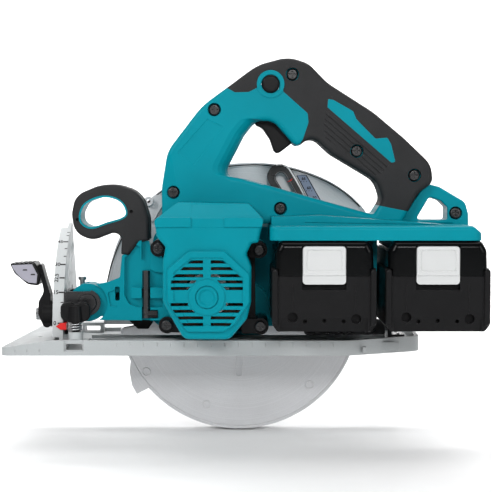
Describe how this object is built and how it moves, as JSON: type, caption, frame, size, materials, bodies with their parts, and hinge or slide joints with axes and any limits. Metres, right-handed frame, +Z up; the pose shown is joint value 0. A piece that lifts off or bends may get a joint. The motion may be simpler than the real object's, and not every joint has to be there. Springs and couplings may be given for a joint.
{
  "type": "cordless circular saw",
  "caption": "Cordless circular saw with rear D-handle, front grip, tilting base, swing depth adjustment, retracting lower guard and side-by-side slide-in battery packs.",
  "frame": {"origin": "on the underside of the base, straight below the blade's axle and in the blade's plane", "axes": "-X is the cutting direction (front), +Z is up from the sole, -Y is the motor and battery side, +Y the blade side"},
  "size_m": [0.3532, 0.1892, 0.2905],
  "materials": {
    "magnesium": "cast, satin",
    "guard_metal": "satin sheet",
    "teal": "moulded plastic",
    "black_rubber": "soft grained overmould",
    "black_plastic": "moulded plastic",
    "black_gloss": "polished plastic",
    "button_grey": "moulded plastic",
    "steel": "machined",
    "black_steel": "black oxide",
    "red_paint": "painted",
    "label": "printed plate",
    "copper": "enamelled wire and laminated steel",
    "brass": "plated"
  },
  "bodies": {
    "base": {"base_plate": "magnesium", "bevel_quadrant": "magnesium", "base_rivets": "steel", "rear_pivot_bracket": "black_steel", "bevel_pivot_pins": "steel", "fence_spring": "steel"},
    "fence_screw": {"fence_screw": "black_plastic"},
    "bevel_frame": {"front_bracket": "black_steel", "depth_guide": "black_steel", "bevel_clamp_bolt": "steel", "bevel_pointer": "red_paint", "depth_pivot_pin": "black_steel", "bevel_stop_screw": "steel"},
    "bevel_lever": {"bevel_lever": "black_plastic"},
    "saw_body": {"motor_collar": "black_plastic", "motor_housing": "teal", "gear_housing": "teal", "stator": "copper", "bearings": "steel", "bearing_retainer": "magnesium", "guard_keeper_ring": "steel", "blade_case": "guard_metal", "depth_scale_plate": "label", "depth_clamp_bolt": "steel", "handle_left": "teal", "handle_right": "teal", "handle_grips": "black_rubber", "handle_inserts": "teal", "handle_panels": "black_rubber", "body_screws": "black_steel", "switch_body": "black_plastic", "battery_housing": "teal", "battery_terminals": "black_plastic", "front_grip_cover": "black_rubber", "front_grip_core": "teal", "motor_controller": "black_plastic"},
    "spindle": {"spindle": "steel", "spindle_gear": "steel", "inner_flange": "black_steel", "outer_flange": "black_steel", "blade_bolt": "black_steel", "saw_blade": "steel"},
    "rotor": {"rotor_shaft": "steel", "rotor_core": "steel", "cooling_fan": "black_plastic"},
    "lower_guard": {"lower_guard": "guard_metal", "guard_lever": "black_plastic"},
    "trigger": {"trigger": "black_plastic"},
    "lock_off_button": {"lock_off_button": "black_plastic"},
    "depth_lock_lever": {"depth_lock_lever": "black_plastic"},
    "battery_front": {"battery_front_lower": "black_plastic", "battery_front_upper": "black_gloss", "battery_front_cells": "steel"},
    "battery_front_button": {"battery_front_button": "button_grey"},
    "battery_rear": {"battery_rear_lower": "black_plastic", "battery_rear_upper": "black_gloss", "battery_rear_cells": "steel"},
    "battery_rear_button": {"battery_rear_button": "button_grey"},
    "shaft_lock": {"shaft_lock": "black_plastic"},
    "hex_key": {"hex_key": "black_steel"}
  },
  "joints": [
    {"name": "bevel_tilt", "type": "hinge", "parent": "base", "child": "bevel_frame", "pos_m": [0, 0, 0.01], "axis": [-1, 0, 0], "range_deg": [0, 53]},
    {"name": "depth_swing", "type": "hinge", "parent": "bevel_frame", "child": "saw_body", "pos_m": [-0.113, -0.07, 0.0376], "axis": [0, -1, 0], "range_deg": [0, 34]},
    {"name": "fence_screw_turn", "type": "hinge", "parent": "base", "child": "fence_screw", "pos_m": [-0.1205, -0.0986, 0.02], "axis": [0, 0, 1], "continuous": true},
    {"name": "bevel_lever_turn", "type": "hinge", "parent": "bevel_frame", "child": "bevel_lever", "pos_m": [-0.145, -0.07003, 0.02798], "axis": [-1, 0, 0], "range_deg": [0, 35]},
    {"name": "spindle_spin", "type": "hinge", "parent": "saw_body", "child": "spindle", "pos_m": [0, 0, 0.026], "axis": [0, 1, 0], "continuous": true},
    {"name": "rotor_spin", "type": "hinge", "parent": "saw_body", "child": "rotor", "pos_m": [-0.022, -0.09, 0.0464], "axis": [0, 1, 0], "continuous": true},
    {"name": "guard_retract", "type": "hinge", "parent": "saw_body", "child": "lower_guard", "pos_m": [0, 0, 0.026], "axis": [0, -1, 0], "range_deg": [0, 120], "stiffness_Nm_per_rad": 0.25, "springref_deg": -68.75},
    {"name": "trigger_pull", "type": "hinge", "parent": "saw_body", "child": "trigger", "pos_m": [0.0155, -0.072, 0.183], "axis": [0, -1, 0], "range_deg": [0, 10], "stiffness_Nm_per_rad": 0.3, "springref_deg": -22.92},
    {"name": "lock_off_push", "type": "slide", "parent": "saw_body", "child": "lock_off_button", "axis": [0, 1, 0], "range_m": [0, 0.003], "stiffness_N_per_m": 300, "springref_m": -0.003},
    {"name": "depth_lever_lift", "type": "hinge", "parent": "saw_body", "child": "depth_lock_lever", "pos_m": [0.06039, -0.03, 0.03154], "axis": [0, -1, 0], "range_deg": [0, 20]},
    {"name": "front_battery_slide", "type": "slide", "parent": "saw_body", "child": "battery_front", "axis": [0, -1, 0], "range_m": [0, 0.115]},
    {"name": "front_battery_release", "type": "slide", "parent": "battery_front", "child": "battery_front_button", "axis": [0, 0, -1], "range_m": [0, 0.0035], "stiffness_N_per_m": 800, "springref_m": -0.003},
    {"name": "rear_battery_slide", "type": "slide", "parent": "saw_body", "child": "battery_rear", "axis": [0, -1, 0], "range_m": [0, 0.115]},
    {"name": "rear_battery_release", "type": "slide", "parent": "battery_rear", "child": "battery_rear_button", "axis": [0, 0, -1], "range_m": [0, 0.0035], "stiffness_N_per_m": 800, "springref_m": -0.003},
    {"name": "shaft_lock_push", "type": "slide", "parent": "saw_body", "child": "shaft_lock", "axis": [0, 1, 0], "range_m": [0, 0.003], "stiffness_N_per_m": 400, "springref_m": -0.003},
    {"name": "hex_key_pull", "type": "slide", "parent": "saw_body", "child": "hex_key", "axis": [0, -1, 0], "range_m": [0, 0.03]}
  ],
  "couplings": [
    {"joint": "rotor_spin", "follows": "spindle_spin", "ratio": -2.75}
  ]
}
